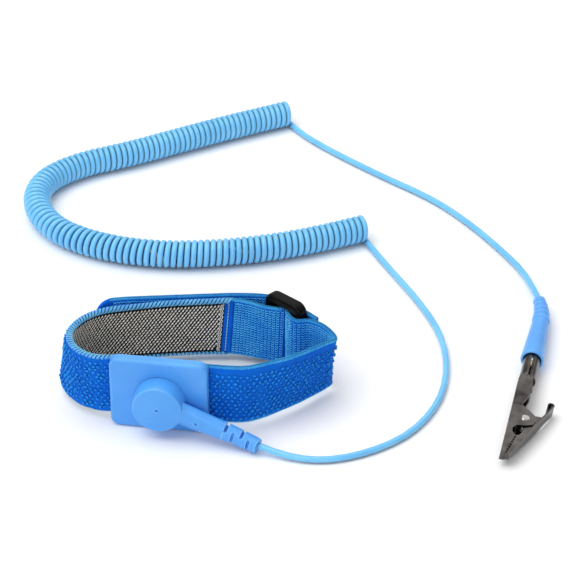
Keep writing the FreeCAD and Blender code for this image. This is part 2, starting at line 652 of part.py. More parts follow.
def plug_sleeve():
    """Moulded sleeve: a flared body over the clip's barrel and a ringed, bent strain relief behind it."""
    body = turned([(-SLEEVE_BODY, 0), (-SLEEVE_BODY, SLEEVE_BACK_R)] + MOUTH_EDGE + [(0, 0)], AHEAD)
    cavity = Part.makeCylinder(SLEEVE_CAVITY_R, SLEEVE_CAVITY, V(-SLEEVE_CAVITY, 0, 0), AHEAD)
    pin_seat = Part.makeCylinder(PIN_CORE_R + GAP, -PIN_BACK + GAP, V(PIN_BACK - GAP, 0, 0), AHEAD)
    pieces, at = [body], V(-SLEEVE_BODY, 0, 0)
    step = RELIEF_LENGTH / (2 * RELIEF_RINGS)
    for i in range(2 * RELIEF_RINGS):
        share = (i + 0.5) / (2 * RELIEF_RINGS)
        way = heading(180 + RELIEF_TURN * share, RELIEF_FALL * share)
        radius = RELIEF_RADII[0] + (RELIEF_RADII[1] - RELIEF_RADII[0]) * share
        if i % 2 == 1:
            radius += RING_PROUD
        pieces.append(Part.makeCylinder(radius, step + 2 * RELIEF_LAP, at - way * RELIEF_LAP, way))
        at = at + way * step
    return fused(pieces).cut(cavity).cut(pin_seat)


def banana_pin():
    """The plug's core, from its wire cup inside the sleeve to its rounded nose."""
    back, front = CAGE_BACK - PIN_PLAY, CAGE_FRONT + PIN_PLAY
    stem = [(PIN_BACK, 0), (PIN_BACK, PIN_CORE_R), (back - PIN_COLLAR, PIN_CORE_R),
            (back - PIN_COLLAR, PIN_COLLAR_R), (back, PIN_COLLAR_R), (back, PIN_GROOVE_R),
            (front, PIN_GROOVE_R), (front, PIN_NOSE_R)]
    return turned(stem + PIN_NOSE, AHEAD)


def banana_spring():
    """Slit, bulged leaf sleeve that turns on the core and grips the clip's barrel."""
    middle = (CAGE_BACK + CAGE_FRONT) / 2
    outside = [(CAGE_BACK, CAGE_END_R), (middle - CAGE_HALF, CAGE_R), (middle + CAGE_HALF, CAGE_R),
               (CAGE_FRONT, CAGE_END_R)]
    inside = [(along, radius - CAGE_WALL) for along, radius in reversed(outside)]
    shell = turned(outside + inside, AHEAD)
    length = CAGE_FRONT - CAGE_BACK - 2 * SLIT_STOP
    for i in range(CAGE_SLITS):
        corner = V(CAGE_BACK + SLIT_STOP, -SLIT_WIDE / 2, SLIT_WIDE)
        slit = Part.makeBox(length, SLIT_WIDE, 2 * CAGE_R, corner)
        slit.rotate(V(0, 0, 0), AHEAD, SLIT_FIRST + i * 360 / CAGE_SLITS)
        shell = shell.cut(slit)
    return shell


# ---- alligator clip ------------------------------------------------------------------------------
def on_clip(shape):
    """Puts a shape made in the clip's frame in place."""
    out = shape.copy()
    out.rotate(V(0, 0, 0), AHEAD, CLIP_ROLL)
    return on_plug(out)


def beyond(halves):
    """What lies outside a pair of cheeks: halves holds (along, distance from the middle) pairs."""
    edge = halves + [(halves[-1][0], CLIP_CLEAR), (halves[0][0], CLIP_CLEAR)]
    wire = Part.makePolygon([V(x, -CLIP_CLEAR, z) for x, z in edge + edge[:1]])
    side = Part.Face(wire).extrude(V(0, 2 * CLIP_CLEAR, 0))
    return Part.makeCompound([side, side.mirror(V(0, 0, 0), UP)])


def channel(outline, hollow, halves):
    """A folded sheet jaw: the outline's prism between its cheeks, hollowed to the sheet's thickness."""
    width = 2 * max(half for x, half in halves)
    block = polygon(outline, width, -width / 2).cut(beyond(halves))
    inner = [(x, half - SHEET) for x, half in halves]
    core = polygon(hollow, width - 2 * SHEET, -width / 2 + SHEET)
    return block.cut(core.cut(beyond(inner)))


def bite(shift):
    """Points of the saw-toothed biting edge, from the throat to the tip."""
    start, end = V(*BITE_START), V(*BITE_END)
    step = (end - start) * (1.0 / TEETH)
    rise = V(-step.y, step.x, 0).normalize() * TOOTH
    points = []
    for i in range(TEETH):
        valley = start + step * i
        peak = valley + step / 2 + rise
        points += [(valley.x, valley.y + shift), (peak.x, peak.y + shift)]
    return points + [(end.x, end.y + shift)]


def pin_hole(radius):
    return Part.makeCylinder(radius, 2 * CLIP_CLEAR, PIVOT - UP * CLIP_CLEAR)


def clip_fixed_jaw():
    """Rolled barrel that goes on the banana plug, and the jaw that runs on from it."""
    barrel = turned([(BARREL_BACK, BARREL_BORE_R), (BARREL_BACK, BARREL_R),
                     (BARREL_FRONT, BARREL_R - BARREL_TAPER), (BARREL_FRONT, BARREL_BORE_R)], AHEAD)
    length = BARREL_FRONT - BARREL_BACK + 2 * OVERRUN
    corner = V(BARREL_BACK - OVERRUN, -SEAM_WIDE / 2, SEAM_FLOOR)
    seam = Part.makeBox(length, SEAM_WIDE, BARREL_R, corner)
    outline = ROOT + [(JAW_TIP, SPINE - SPINE_FALL)] + bite(-JAW_GAP)[::-1] + CHEEK
    jaw = channel(outline, FIXED_HOLLOW, FIXED_HALVES)
    along, high, wide = STOP_TAB
    stop_tab = Part.makeBox(SHEET, high, wide, V(along, SPINE + SHEET / 2, -wide / 2))
    return fused([barrel.cut(seam), jaw, stop_tab]).cut(pin_hole(PIN_R - GAP))


def clip_moving_jaw():
    """Jaw with the thumb lever: its cheeks run inside those of the fixed jaw."""
    jaw = channel(MOVING_CHEEK + bite(0.0) + [MOVING_NOSE], MOVING_HOLLOW, MOVING_HALVES)
    back = V(*LEVER_ROOT)
    fall = V(*MOVING_NOSE) - back
    slope = math.atan2(fall.y, fall.x)
    corner = V(-LEVER_LENGTH, -SHEET, -LEVER_WIDTH / 2)
    lever = Part.makeBox(LEVER_LENGTH + LEVER_LAP, SHEET, LEVER_WIDTH, corner)
    lever.Placement = FreeCAD.Placement(back, FreeCAD.Rotation(UP, math.degrees(slope)))
    end = back - V(math.cos(slope), math.sin(slope), 0) * LEVER_LENGTH
    curl_at = end + V(math.sin(slope), -math.cos(slope), 0) * CURL_R - UP * LEVER_WIDTH / 2
    curl = Part.makeCylinder(CURL_R, LEVER_WIDTH, curl_at).cut(
        Part.makeCylinder(CURL_R - SHEET, LEVER_WIDTH, curl_at))
    mouth = Part.makeBox(CURL_R, CURL_R, LEVER_WIDTH, curl_at + V(0, -CURL_R, 0))
    return fused([jaw, lever, curl.cut(mouth)]).cut(pin_hole(PIN_R + GAP))


def pivot_pin():
    """Rivet through both pairs of cheeks."""
    half = FIXED_WIDTH / 2
    at_cheek, at_face = PIN_HEAD_R
    head = [(half, PIN_R), (half, at_cheek), (half + PIN_HEAD, at_face), (half + PIN_HEAD, 0)]
    pin = turned([(-along, radius) for along, radius in reversed(head)] + head, UP)
    pin.translate(PIVOT)
    return pin


def jaw_spring():
    """Torsion spring round the pivot: a leg on each jaw."""
    pitch = SPRING_WIRE + GAP
    start = -pitch * (SPRING_TURNS - 1) / 2
    turns = [Part.makeTorus(SPRING_R, SPRING_WIRE / 2, PIVOT + UP * (start + pitch * i))
             for i in range(SPRING_TURNS)]
    low, high = PIVOT + UP * start, PIVOT + UP * (start + pitch * (SPRING_TURNS - 1))
    way = heading(SPRING_HEADING)
    fixed_leg = Part.makeCylinder(SPRING_WIRE / 2, SPRING_LEGS[0], low + V(0, -SPRING_R, 0), way)
    moving_leg = Part.makeCylinder(SPRING_WIRE / 2, SPRING_LEGS[1], high + V(0, SPRING_R, 0), way)
    turns[0] = turns[0].fuse(fixed_leg)
    turns[-1] = turns[-1].fuse(moving_leg)
    return Part.makeCompound([s for t in turns for s in t.Solids])


NODES = {}


def main():
    os.makedirs("parts", exist_ok=True)
    save("cover_plate", on_plate(cover_plate()))
    save("snap_stud", on_plate(snap_stud()))
    save("rivet_cap", on_plate(rivet_cap()))
    save("contact_plate", on_plate(contact_plate()))
    save("main_strap", main_strap())
    save("conductive_lining", conductive_lining())
    save("right_strap", right_strap())
    save("buckle", buckle())
    save("strap_tail", strap_tail())
    save("hook_patch", hook_patch())
    save("snap_ring", on_plate(snap_ring()))
    save("snap_socket", on_plate(snap_socket()))
    save("snap_head", on_plate(snap_head()))
    save("resistor", on_plate(resistor()))
    save("resistor_legs", on_plate(resistor_legs()))
    save("wire_ferrule", on_plate(wire_ferrule()))
    save("cord_boot", cord_boot())
    tube("wrist_lead", WRIST_LEAD, CORD_D)
    tube("cord_coil", COIL_AXIS, COIL_D)
    tube("clip_lead", CLIP_LEAD, CORD_D)
    save("plug_sleeve", on_plug(plug_sleeve()))
    save("banana_pin", on_plug(banana_pin()))
    save("banana_spring", on_plug(banana_spring()))
    save("clip_fixed_jaw", on_clip(clip_fixed_jaw()))
    save("clip_moving_jaw", on_clip(clip_moving_jaw()))
    save("pivot_pin", on_clip(pivot_pin()))
    save("jaw_spring", on_clip(jaw_spring()))


main()
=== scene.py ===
"""ESD wrist strap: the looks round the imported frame. Metres, in the same frame as the CAD."""

import math
import random

import bmesh
import bpy
import numpy as np
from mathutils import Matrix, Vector


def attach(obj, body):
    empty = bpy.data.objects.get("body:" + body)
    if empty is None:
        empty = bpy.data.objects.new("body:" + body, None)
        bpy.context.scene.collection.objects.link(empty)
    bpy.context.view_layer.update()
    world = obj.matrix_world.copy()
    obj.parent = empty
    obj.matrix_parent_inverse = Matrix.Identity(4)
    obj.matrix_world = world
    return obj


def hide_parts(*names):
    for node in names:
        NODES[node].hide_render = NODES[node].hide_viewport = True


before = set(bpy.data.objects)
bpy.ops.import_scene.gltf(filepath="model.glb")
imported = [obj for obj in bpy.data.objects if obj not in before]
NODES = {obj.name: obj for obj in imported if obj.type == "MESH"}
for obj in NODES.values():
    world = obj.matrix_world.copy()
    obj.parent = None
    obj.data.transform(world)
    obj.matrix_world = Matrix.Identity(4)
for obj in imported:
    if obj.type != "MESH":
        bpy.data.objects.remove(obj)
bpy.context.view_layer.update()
MM = 0.001
UP = Vector((0, 0, 1))
DICE = random.Random(7)


def V(x, y, z=0.0):
    """A point given in millimetres."""
    return Vector((x, y, z)) * MM


# ---- camera, stage and light -------------------------------------------------------------------
CAMERA_AT = V(25.3, -594.6, 417.6)
CAMERA_DOWN = 32.5              # degrees below level, looking along +Y
CAMERA_LENS = 156.52
CAMERA_SENSOR = 36.0
CAMERA_CLIP = (0.05, 20.0)
FLOOR_HALF = 3.0
FLOOR_Z = -0.0002               # just under the object, so that the two never share a plane
FLOOR_TONES = ((0.93, 0.93, 0.935), (0.97, 0.97, 0.975))
SKY = 0.42
LOOK_AT = (0.02, 0.05, 0)
# name, place, what it looks at, size, watts
LIGHTS = [("key", (-0.35, -0.1, 0.8), LOOK_AT, (0.8, 0.8), 5.4),
          ("top", (0.12, 0.45, 0.75), LOOK_AT, (1.3, 0.9), 3.4),
          ("front", (-0.1, -0.95, 0.42), (0.02, 0.0, 0), (0.7, 0.3), 2.2)]


def make_camera():
    data = bpy.data.cameras.new("camera")
    data.lens, data.sensor_width = CAMERA_LENS, CAMERA_SENSOR
    data.clip_start, data.clip_end = CAMERA_CLIP
    camera = bpy.data.objects.new("camera", data)
    camera.location = CAMERA_AT
    camera.rotation_euler = (math.radians(90 - CAMERA_DOWN), 0, 0)
    bpy.context.collection.objects.link(camera)
    bpy.context.scene.camera = camera


def area_light(name, at, look, size, watts):
    data = bpy.data.lights.new(name, "AREA")
    data.shape, data.size, data.size_y = "RECTANGLE", *size
    data.energy = watts
    lamp = bpy.data.objects.new(name, data)
    lamp.location = at
    lamp.rotation_euler = (Vector(look) - Vector(at)).to_track_quat("-Z", "Y").to_euler()
    bpy.context.collection.objects.link(lamp)


def make_stage():
    mesh = bpy.data.meshes.new("floor")
    corners = [(x * FLOOR_HALF, y * FLOOR_HALF, 0) for x, y in ((-1, -1), (1, -1), (1, 1), (-1, 1))]
    mesh.from_pydata(corners, [], [(0, 1, 2, 3)])
    floor = bpy.data.objects.new("floor", mesh)
    floor.location.z = FLOOR_Z
    bpy.context.collection.objects.link(floor)
    m = Material("floor")
    m.base(m.mix(m.noise(40, 2), *FLOOR_TONES))
    m.set("Roughness", 0.75)
    m.set("Specular IOR Level", 0.15)
    floor.data.materials.append(m.data)
    world = bpy.data.worlds.new("studio")
    bpy.context.scene.world = world
    world.use_nodes = True
    back = world.node_tree.nodes["Background"]
    back.inputs["Color"].default_value = (1.0, 1.0, 1.0, 1)
    back.inputs["Strength"].default_value = SKY
    for light in LIGHTS:
        area_light(*light)
    view = bpy.context.scene.view_settings
    view.view_transform = "Standard"
    view.look = "None"


# ---- materials ---------------------------------------------------------------------------------
MIDDLE = (0.3, 0.7)             # the part of a noise's range that most of its values lie in
# painted highlight: the plastic's sharp edges are painted paler
EDGE_HIGHLIGHT_REACH = 0.0007
EDGE_HIGHLIGHT_TURN = (0.995, 0.85)       # the cosines at which the painted edge highlight starts and is full
EDGE_HIGHLIGHT_SHARE = 0.85
HOLLOW_SHADE_SPAN = (0.25, 0.9)       # how open the places are where the painted shade is darkest and where it is lightest
# how far the painted shade reaches, in the yarn's hollows and between the coil's turns
YARN_SHADE_REACH = 0.0007
COIL_SHADE_REACH = 0.0009
FIBRE_BUMP = 0.00003


class Material:
    """A procedural material: one Principled shader, with helpers that return sockets."""

    def __init__(self, name):
        self.data = bpy.data.materials.new(name)
        self.data.use_nodes = True
        self.tree = self.data.node_tree
        self.shader = self.tree.nodes["Principled BSDF"]
        self.place = self.node("ShaderNodeTexCoord").outputs["Object"]

    def node(self, kind, **settings):
        made = self.tree.nodes.new(kind)
        for key, value in settings.items():
            setattr(made, key, value)
        return made

    def feed(self, socket, value):
        if isinstance(value, bpy.types.NodeSocket):
            self.tree.links.new(value, socket)
        elif isinstance(value, (tuple, list)) and len(value) == 3 and socket.type == "RGBA":
            socket.default_value = (*value, 1)
        else:
            socket.default_value = value

    def set(self, name, value):
        self.feed(self.shader.inputs[name], value)

    def base(self, value):
        self.set("Base Color", value)

    def noise(self, scale, detail=3.0, rough=0.55, at=None):
        made = self.node("ShaderNodeTexNoise")
        self.feed(made.inputs["Vector"], at or self.place)
        made.inputs["Scale"].default_value = scale
        made.inputs["Detail"].default_value = detail
        made.inputs["Roughness"].default_value = rough
        return made.outputs["Fac"]

    def span(self, value, low, high, to_low=0.0, to_high=1.0):
        made = self.node("ShaderNodeMapRange")
        self.feed(made.inputs["Value"], value)
        ends = {"From Min": low, "From Max": high, "To Min": to_low, "To Max": to_high}
        for key, number in ends.items():
            made.inputs[key].default_value = number
        return made.outputs["Result"]

    def mix(self, share, a, b, blend="MIX"):
        made = self.node("ShaderNodeMix", data_type="RGBA", blend_type=blend)
        self.feed(made.inputs["Factor"], share)
        self.feed(made.inputs["A"], a)
        self.feed(made.inputs["B"], b)
        return next(s for s in made.outputs if s.type == "RGBA")

    def maths(self, do, a, b):
        made = self.node("ShaderNodeMath", operation=do)
        self.feed(made.inputs[0], a)
        self.feed(made.inputs[1], b)
        return made.outputs[0]

    def bump(self, height, distance, strength=1.0):
        made = self.node("ShaderNodeBump")
        made.inputs["Strength"].default_value = strength
        made.inputs["Distance"].default_value = distance
        self.feed(made.inputs["Height"], height)
        before = self.shader.inputs["Normal"].links
        if before:
            self.tree.links.new(before[0].from_socket, made.inputs["Normal"])
        self.set("Normal", made.outputs["Normal"])

    def edge_highlight_mask(self):
        """From 0 to 1 where the surface turns sharply outwards: the mask of the painted edge highlight.
        """
        made = self.node("ShaderNodeBevel", samples=4)
        made.inputs["Radius"].default_value = EDGE_HIGHLIGHT_REACH
        flat = self.node("ShaderNodeNewGeometry").outputs["Normal"]
        dot = self.node("ShaderNodeVectorMath", operation="DOT_PRODUCT")
        self.feed(dot.inputs[0], made.outputs["Normal"])
        self.feed(dot.inputs[1], flat)
        return self.span(dot.outputs["Value"], *EDGE_HIGHLIGHT_TURN)

    def painted_hollow_shade(self, colour, reach, shadow):
        """The colour with painted shade: darker where its surroundings close in."""
        made = self.node("ShaderNodeAmbientOcclusion", samples=6, only_local=False)
        made.inputs["Distance"].default_value = reach
        shade = self.span(made.outputs["AO"], *HOLLOW_SHADE_SPAN, shadow, 1.0)
        return self.mix(1.0, colour, self.mix(shade, (0, 0, 0), (1, 1, 1)), "MULTIPLY")


def tint(red, green, blue):
    """A colour given as screen values from 0 to 255."""
    shares = [c / 255 for c in (red, green, blue)]
    return tuple(c / 12.92 if c < 0.0405 else ((c + 0.055) / 1.055) ** 2.4 for c in shares)


def yarn(name, deep, light, rough, sheen, shadow=0.45):
    """Spun or textured yarn: uneven dye, painted shade in its hollows, fine fibres and a soft sheen."""
    m = Material(name)
    patches = m.noise(150, 3)
    fibres = m.noise(5200, 2, 0.6)
    tone = m.maths("ADD", m.span(patches, *MIDDLE, 0.0, 0.45), m.span(fibres, *MIDDLE, 0.0, 0.55))
    # painted shade: the yarn's colour is darker in its hollows
    m.base(m.painted_hollow_shade(m.mix(tone, deep, light), YARN_SHADE_REACH, shadow))
    m.set("Roughness", m.span(fibres, *MIDDLE, rough - 0.1, rough + 0.1))
    m.set("Specular IOR Level", 0.14)
    m.set("Sheen Weight", sheen)
    m.set("Sheen Roughness", 0.5)
    m.set("Sheen Tint", (*[min(1.0, c * 1.4 + 0.01) for c in light], 1))
    m.bump(fibres, FIBRE_BUMP, 0.7)
    return m.data


def plastic(name, deep, light, rough=0.36, grain=0.00002, shadow=1.0):
    """Soft moulded plastic: faint cloudiness, edges painted paler as a highlight, painted shade between
    close turns when shadow is below 1, a fine matt grain and small scuffs.
    """
    m = Material(name)
    clouds = m.noise(90, 3)
    tone = m.mix(m.span(clouds, *MIDDLE), deep, light)
    # painted highlight: a paler tone for the edges
    highlight_tone = tuple(min(1.0, c * 1.25 + 0.12) for c in light)
    tone = m.mix(m.maths("MULTIPLY", m.edge_highlight_mask(), EDGE_HIGHLIGHT_SHARE), tone, highlight_tone)
    # painted shade: the colour is darker between the coil's close turns
    if shadow < 1:
        tone = m.painted_hollow_shade(tone, COIL_SHADE_REACH, shadow)
    m.base(tone)
    fine = m.noise(2600, 2)
    scuffs = m.span(m.noise(420, 4, 0.7), 0.58, 0.72)
    m.set("Roughness", m.maths("ADD", m.span(fine, *MIDDLE, rough - 0.04, rough + 0.05),
                               m.maths("MULTIPLY", scuffs, 0.12)))
    m.set("Subsurface Weight", 0.12)
    m.set("Subsurface Radius", (0.3, 0.6, 1.0))
    m.set("Subsurface Scale", 0.0012)
    m.bump(fine, grain, 0.6)
    m.bump(clouds, grain * 6, 0.3)
    return m.data


def make_materials():
    out = {
        "head": plastic("head_plastic", (0.062, 0.315, 0.80), (0.082, 0.36, 0.86)),
        # the cord's colour carries painted shade between its turns (shadow 0.33)
        "cord": plastic("cord_plastic", (0.14, 0.49, 0.85), (0.185, 0.57, 0.94), 0.2, 0.000012,
                        0.33),
        "sleeve": plastic("sleeve_plastic", (0.085, 0.33, 0.83), (0.11, 0.39, 0.9), 0.34),
        "ground": yarn("strap_ground", tint(0, 84, 190), tint(0, 112, 224), 0.8, 0.1),
        "pile": yarn("strap_pile_yarn", tint(4, 112, 232), tint(52, 174, 255), 0.7, 0.25),
        "knit": yarn("strap_knit_yarn", tint(16, 160, 250), tint(120, 230, 255), 0.7, 0.3, 0.85),
        "selvedge": yarn("strap_edge_yarn", tint(20, 140, 236), tint(92, 206, 255), 0.65, 0.4),
        "overlock": yarn("overlock_thread", tint(50, 158, 240), tint(150, 222, 255), 0.55, 0.5),
        "stitch": yarn("seam_thread", tint(120, 190, 246), tint(196, 228, 255), 0.5, 0.5),
        "lining": yarn("lining_weave", tint(8, 7, 8), tint(34, 29, 28), 0.6, 0.05),
        "float": yarn("lining_float", tint(228, 220, 206), tint(255, 252, 244), 0.42, 0.2),
        "hook": yarn("hook_nylon", tint(20, 90, 190), tint(60, 140, 225), 0.5, 0.1),
    }
    m = Material("buckle_plastic")
    m.base(m.mix(m.noise(300, 3), (0.0012, 0.0011, 0.0012), (0.0035, 0.003, 0.003)))
    m.set("Roughness", m.span(m.noise(900, 4, 0.6), 0.35, 0.7, 0.2, 0.36))
    m.set("Specular IOR Level", 0.1)
    m.bump(m.noise(500, 3), 0.00003, 0.4)
    out["buckle"] = m.data
    out["clip"] = metal("clip_metal", (0.07, 0.063, 0.06), (0.15, 0.138, 0.132), 0.12, 0.25)
    out["spring"] = metal("spring_metal", (0.36, 0.35, 0.34), (0.56, 0.55, 0.54), 0.14, 0.28)
    out["steel"] = metal("snap_metal", (0.55, 0.55, 0.54), (0.7, 0.7, 0.69), 0.2, 0.35)
    out["brass"] = metal("plug_metal", (0.6, 0.48, 0.25), (0.72, 0.6, 0.36), 0.2, 0.35)
    return out


def metal(name, dark, light, smooth, rough):
    """Plated pressed metal: faint clouding, fine drawn streaks and dull handled patches."""
    m = Material(name)
    stretch = m.node("ShaderNodeMapping")
    stretch.inputs["Scale"].default_value = (1.0, 0.12, 1.0)
    m.feed(stretch.inputs["Vector"], m.place)
    streaks = m.noise(2600, 3, 0.6, stretch.outputs["Vector"])
    clouds = m.noise(260, 4, 0.6)
    m.base(m.mix(m.span(clouds, 0.35, 0.7), dark, light))
    m.set("Metallic", 1.0)
    m.set("Roughness", m.maths("ADD", m.span(clouds, 0.3, 0.75, smooth, rough),
                               m.span(streaks, *MIDDLE, -0.03, 0.05)))
    m.bump(streaks, 0.000006, 0.5)
    m.bump(clouds, 0.00002, 0.4)
    return m.data


# ---- cord --------------------------------------------------------------------------------------
CORD_D = 0.0019
COIL_D = 0.0088
WRIST_LEAD = [V(17.0, -25.5, 2.4), V(23.7, -28.8, 1.2), V(35.4, -31.2, 1.0), V(48.4, -27.0, 1.0),
              V(60.7, -17.8, 1.0), V(69.5, -2.3, 1.0), V(72.8, 15.7, 1.0), V(71.5, 34.2, 1.0),
              V(65.2, 52.7, 1.0), V(57.1, 70.7, 1.0), V(50.4, 86.7, 1.0)]
COIL_AXIS = [V(49.9, 89.4, 4.45), V(39.4, 84.4, 4.45), V(24.9, 78.8, 4.45), V(5.4, 74.2, 4.45),
             V(-15.1, 73.1, 4.45), V(-33.6, 77.7, 4.45), V(-49.1, 87.7, 4.45),
             V(-56.9, 103.7, 4.45), V(-55.6, 118.7, 4.45), V(-44.1, 130.2, 4.45),
             V(-28.1, 137.2, 4.45), V(-10.6, 147.2, 4.45), V(8.9, 158.0, 4.45),
             V(25.5, 166.0, 4.45)]
CLIP_LEAD = [V(25.5, 166.0, 1.0), V(31.1, 156.0, 1.0), V(41.9, 143.5, 1.0), V(57.4, 127.8, 1.0),
             V(73.2, 113.4, 1.0), V(84.4, 97.5, 1.0), V(93.2, 81.4, 1.0), V(100.7, 64.7, 1.4),
             V(102.4, 48.2, 2.9)]
TURN_POINTS = 14                # control points in each turn of the helix
# Turns lie against each other in the straight runs and open out round the bend. Share of the
# coil, then the pitch in millimetres.
PITCHES = [(0.0, 1.98), (0.25, 1.98), (0.36, 2.15), (0.46, 2.45), (0.54, 2.4), (0.62, 2.1),
           (0.72, 1.94), (1.0, 1.94)]
WOBBLE, WOBBLE_STEP = 0.012, 2.1    # how far the turns' radii vary, and how soon


def nurbs(name, points, resolution):
    """A curve of one open NURBS spline of order 3 that starts and ends at its end points."""
    data = bpy.data.curves.new(name, "CURVE")
    data.dimensions = "3D"
    data.resolution_u = resolution
    spline = data.splines.new("NURBS")
    spline.points.add(len(points) - 1)
    for point, at in zip(spline.points, points):
        point.co = (*at, 1)
    spline.order_u = 3
    spline.use_endpoint_u = True
    return bpy.data.objects.new(name, data)


def smooth_line(points):
    """Points along the NURBS spline of a route."""
    curve = nurbs("route", points, 24)
    mesh = bpy.data.meshes.new_from_object(curve)
    line = [v.co.copy() for v in mesh.vertices]
    bpy.data.meshes.remove(mesh)
    bpy.data.curves.remove(curve.data)
    return line


class Line:
    """A line that can be read by distance from its start."""

    def __init__(self, points):
        self.points = points
        self.at = [0.0]
        for a, b in zip(points, points[1:]):
            self.at.append(self.at[-1] + (b - a).length)
        self.length = self.at[-1]
        self.index = 0

    def read(self, distance):
        """The point and the heading there."""
        distance = min(max(distance, 0.0), self.length)
        while self.index > 0 and self.at[self.index] > distance:
            self.index -= 1
        while self.index < len(self.at) - 2 and self.at[self.index + 1] < distance:
            self.index += 1
        a, b = self.points[self.index], self.points[self.index + 1]
        step = self.at[self.index + 1] - self.at[self.index]
        return a.lerp(b, (distance - self.at[self.index]) / max(step, 1e-9)), (b - a).normalized()


def between(table, share):
    """The value at a share, read from (share, value) pairs."""
    for (a, low), (b, high) in zip(table, table[1:]):
        if share <= b:
            return low + (high - low) * (share - a) / (b - a)
    return table[-1][1]


def helix_points():
    """Control points of the coil's turns, from the first turn's bottom to the last turn's."""
    line = Line(smooth_line(COIL_AXIS))
    pitches, along = [], 0.0
    while along < line.length:
        pitches.append(between(PITCHES, along / line.length) * MM)
        along += pitches[-1]
    scale = line.length / sum(pitches)
    radius = (COIL_D - CORD_D) / 2 / math.cos(math.pi / TURN_POINTS)
    points, along = [], 0.0
    for turn, pitch in enumerate(pitches):
        for i in range(TURN_POINTS):
            at, way = line.read(along + pitch * scale * i / TURN_POINTS)
            side = way.cross(UP)
            angle = -math.pi / 2 + 2 * math.pi * i / TURN_POINTS
            wobble = 1 - WOBBLE * (1 + math.sin(turn * WOBBLE_STEP)) / 2
            points.append(at + (side * math.cos(angle) + UP * math.sin(angle)) * radius * wobble)
        along += pitch * scale
    return points


def make_cord(materials):
    cord = nurbs("cord", WRIST_LEAD + helix_points() + CLIP_LEAD, 3)
    cord.data.bevel_depth = CORD_D / 2
    cord.data.bevel_resolution = 4
    cord.data.use_fill_caps = True
    bpy.context.collection.objects.link(cord)
    cord.data.materials.append(materials["cord"])
    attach(cord, "cord_set")
    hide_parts("wrist_lead", "cord_coil", "clip_lead")


# ---- fabric ------------------------------------------------------------------------------------
# Each band of fabric stands on edge between two lines in plan, one along its bottom and one
# along its top.
STRAP_LOW, STRAP_HIGH = 2.2 * MM, 21.2 * MM
BAND_LOW = [(-9.0, -10.7), (-18.0, -9.2), (-25.0, -8.5), (-28.4, -8.4), (-31.2, -7.1),
            (-34.2, -5.5), (-37.3, -1.8), (-39.0, 1.1), (-40.6, 5.1), (-40.9, 9.2),
            (-38.3, 14.2), (-32.9, 17.7), (-24.0, 19.2), (-14.0, 20.5), (0.6, 21.9), (5.2, 21.8),
            (9.0, 21.3), (12.9, 20.5), (17.2, 18.9), (20.2, 17.9), (22.7, 17.3), (24.3, 17.5),
            (24.8, 18.7), (24.3, 20.5), (23.0, 22.2), (21.7, 22.9)]
BAND_HIGH = [(-9.0, -10.7), (-18.0, -9.3), (-25.2, -9.2), (-29.4, -9.0), (-32.8, -7.3),
             (-35.4, -4.6), (-37.2, -1.3), (-38.0, 2.6), (-37.8, 5.6), (-36.4, 9.1),
             (-34.2, 12.4), (-31.2, 15.2), (-26.7, 17.1), (-20.9, 18.2), (-15.1, 19.5),
             (-9.2, 20.4), (-3.3, 21.0), (2.5, 21.5), (5.5, 21.8), (9.1, 22.0), (14.7, 20.3),
             (17.6, 18.4), (20.3, 17.4), (22.7, 16.9), (24.3, 17.2), (24.8, 18.5), (24.3, 20.4),
             (23.0, 22.2), (21.7, 22.9)]
RIGHT_LOW = [(-9.0, -10.7), (3.2, -12.6), (10.4, -14.0), (14.4, -13.5), (17.2, -12.1),
             (20.0, -10.4), (22.9, -8.2), (25.7, -6.2), (28.6, -4.0), (31.4, -1.4), (34.4, 1.3),
             (36.9, 3.8), (38.1, 5.3), (37.2, 7.0), (34.9, 9.3), (32.6, 10.6), (31.0, 10.9),
             (29.4, 10.3), (28.0, 10.3), (26.8, 11.0), (25.7, 13.0), (25.3, 14.8), (25.3, 16.2),
             (26.3, 17.2), (28.0, 16.8), (29.8, 15.7), (31.4, 14.3), (32.7, 12.8), (33.6, 11.9)]
RIGHT_HIGH = [(-9.0, -10.7), (3.6, -13.0), (11.9, -13.9), (14.6, -13.5), (17.4, -12.5),
              (20.2, -11.3), (22.9, -10.2), (25.7, -8.9), (28.6, -7.0), (31.4, -5.1),
              (34.3, -3.0), (37.4, -0.6), (39.3, 0.4), (38.6, 3.2), (35.6, 8.1), (32.8, 10.0),
              (31.2, 10.6), (29.4, 10.2), (28.0, 10.3), (26.8, 11.0), (25.7, 13.0), (25.3, 14.7),
              (25.3, 16.1), (26.3, 17.1), (28.0, 16.7), (29.8, 15.6), (31.4, 14.2), (32.8, 12.5),
              (33.9, 11.3)]
TAIL = [(20.9, 23.3), (17.5, 24.2), (10.0, 24.5), (2.9, 24.1), (-14.8, 22.9), (-24.5, 22.2),
        (-28.4, 20.9), (-30.8, 18.9)]
TAIL_CORNER = 4.6 * MM
STRAP_IN, STRAP_OUT = -0.75 * MM, 0.38 * MM         # the strap's faces, from its line
LINING_IN = -1.25 * MM
HEM_IN = -0.95 * MM              # the folded hem beyond the lining's end
CLOTH_HALF = 0.55 * MM           # half the thickness of the right strap and of the tail
LINING_END, SEAM_X = 6.0, 26.4    # where the lining ends and the right strap is sewn, along X
FAR_SHARE = 0.6                  # both lie beyond this share of their bands
CREASE_CLEAR = 1.3 * MM          # no pile this near the right strap's crease
EDGES = (("high", 1.0), ("low", 0.0))
HOOK_FACES = (-1.0 * MM, -0.6 * MM)

STATIONS = 400                   # places kept along each band
STRIP_STEP = 0.6 * MM
STRIP_ROWS = 12
PILE_STEP, PILE_ROW = 1.66 * MM, 1.1 * MM
KNIT_STEP, KNIT_ROW = 1.08 * MM, 0.8 * MM
KNIT_LEAN = 48
TWILL_STEP, TWILL_ROW = 1.1 * MM, 0.86 * MM
TWILL_SHIFT = 0.51               # each row starts this much of a step farther along
TWILL_SPAN = (0.085, 0.915)      # shares of the height
TWILL_ANGLE = 57
WRAP_STEP, WRAP_THREAD = 1.2 * MM, 0.26 * MM
EDGE_STEP = 0.36 * MM
HOOK_STEP, HOOK_ROW = 1.1 * MM, 0.8 * MM


